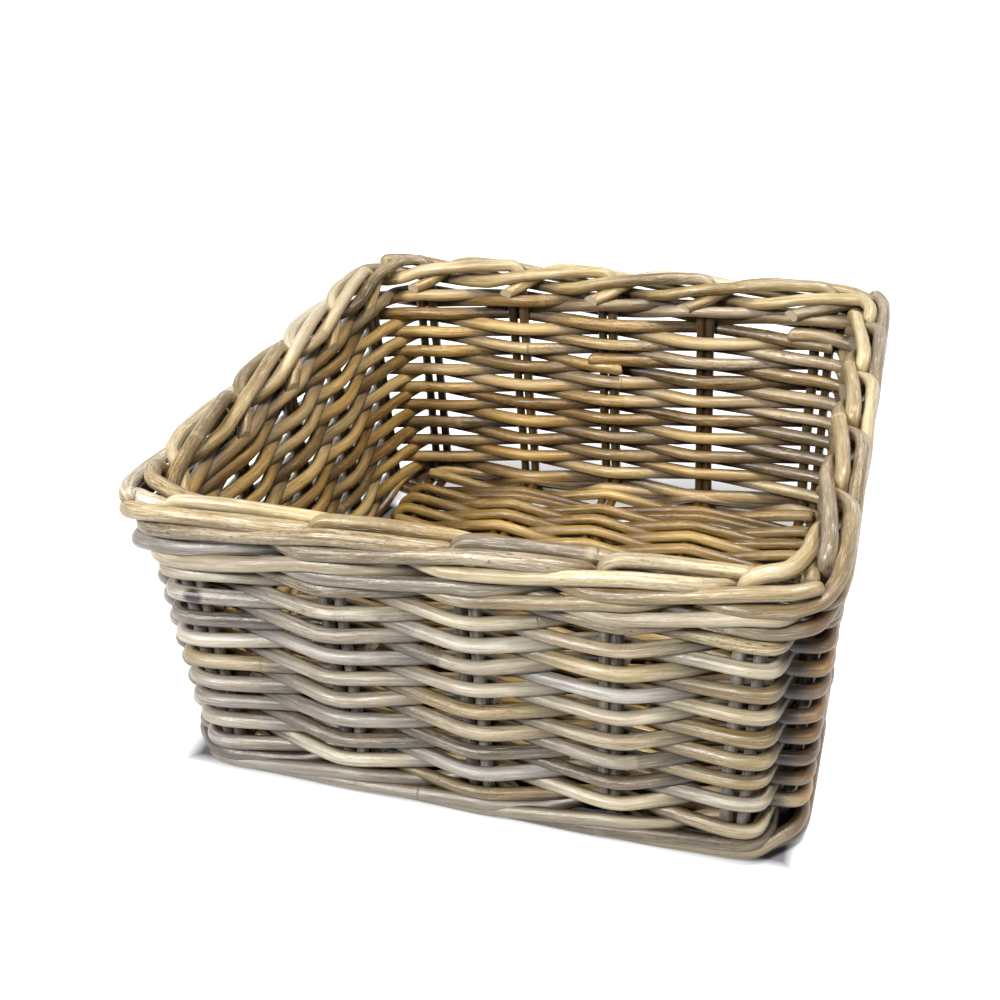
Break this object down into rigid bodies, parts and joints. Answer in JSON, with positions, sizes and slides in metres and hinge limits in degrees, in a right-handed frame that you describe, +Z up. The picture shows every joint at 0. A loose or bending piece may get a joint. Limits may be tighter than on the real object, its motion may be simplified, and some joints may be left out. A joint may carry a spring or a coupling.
{
  "type": "pie basket",
  "caption": "Square open pie basket woven from round grey-washed rattan rods, with a thick plaited rod border, waled edges and a flat woven floor.",
  "frame": {"origin": "centre of the square plan, on the surface that the basket stands on", "axes": "+Z up, -Y towards the front wall, +X to the right"},
  "size_m": [0.3984, 0.3984, 0.1965],
  "materials": {
    "stake": "grey-washed rattan, satin",
    "weaver": "grey-washed rattan, satin",
    "wale": "grey-washed rattan, satin",
    "floor": "warm ochre rattan, dull"
  },
  "bodies": {
    "root": {"floor_weaver_1": "floor", "floor_weaver_2": "floor", "floor_weaver_3": "floor", "floor_weaver_4": "floor", "floor_weaver_5": "floor", "floor_weaver_6": "floor", "lower_wale_rod_1": "wale", "lower_wale_rod_2": "wale", "lower_wale_rod_3": "wale", "lower_wale_rod_4": "wale", "side_weaver_1": "weaver", "side_weaver_10": "weaver", "side_weaver_11": "weaver", "side_weaver_12": "weaver", "side_weaver_13": "weaver", "side_weaver_14": "weaver", "side_weaver_15": "weaver", "side_weaver_16": "weaver", "side_weaver_17": "weaver", "side_weaver_18": "weaver", "side_weaver_2": "weaver", "side_weaver_3": "weaver", "side_weaver_4": "weaver", "side_weaver_5": "weaver", "side_weaver_6": "weaver", "side_weaver_7": "weaver", "side_weaver_8": "weaver", "side_weaver_9": "weaver", "stake_back_1": "stake", "stake_back_2": "stake", "stake_back_3": "stake", "stake_back_4": "stake", "stake_back_5": "stake", "stake_front_1": "stake", "stake_front_2": "stake", "stake_front_3": "stake", "stake_front_4": "stake", "stake_front_5": "stake", "stake_left_1": "stake", "stake_left_2": "stake", "stake_left_3": "stake", "stake_left_4": "stake", "stake_left_5": "stake", "stake_right_1": "stake", "stake_right_2": "stake", "stake_right_3": "stake", "stake_right_4": "stake", "stake_right_5": "stake", "upper_wale_rod_1": "wale", "upper_wale_rod_2": "wale", "upper_wale_rod_3": "wale"}
  },
  "joints": []
}
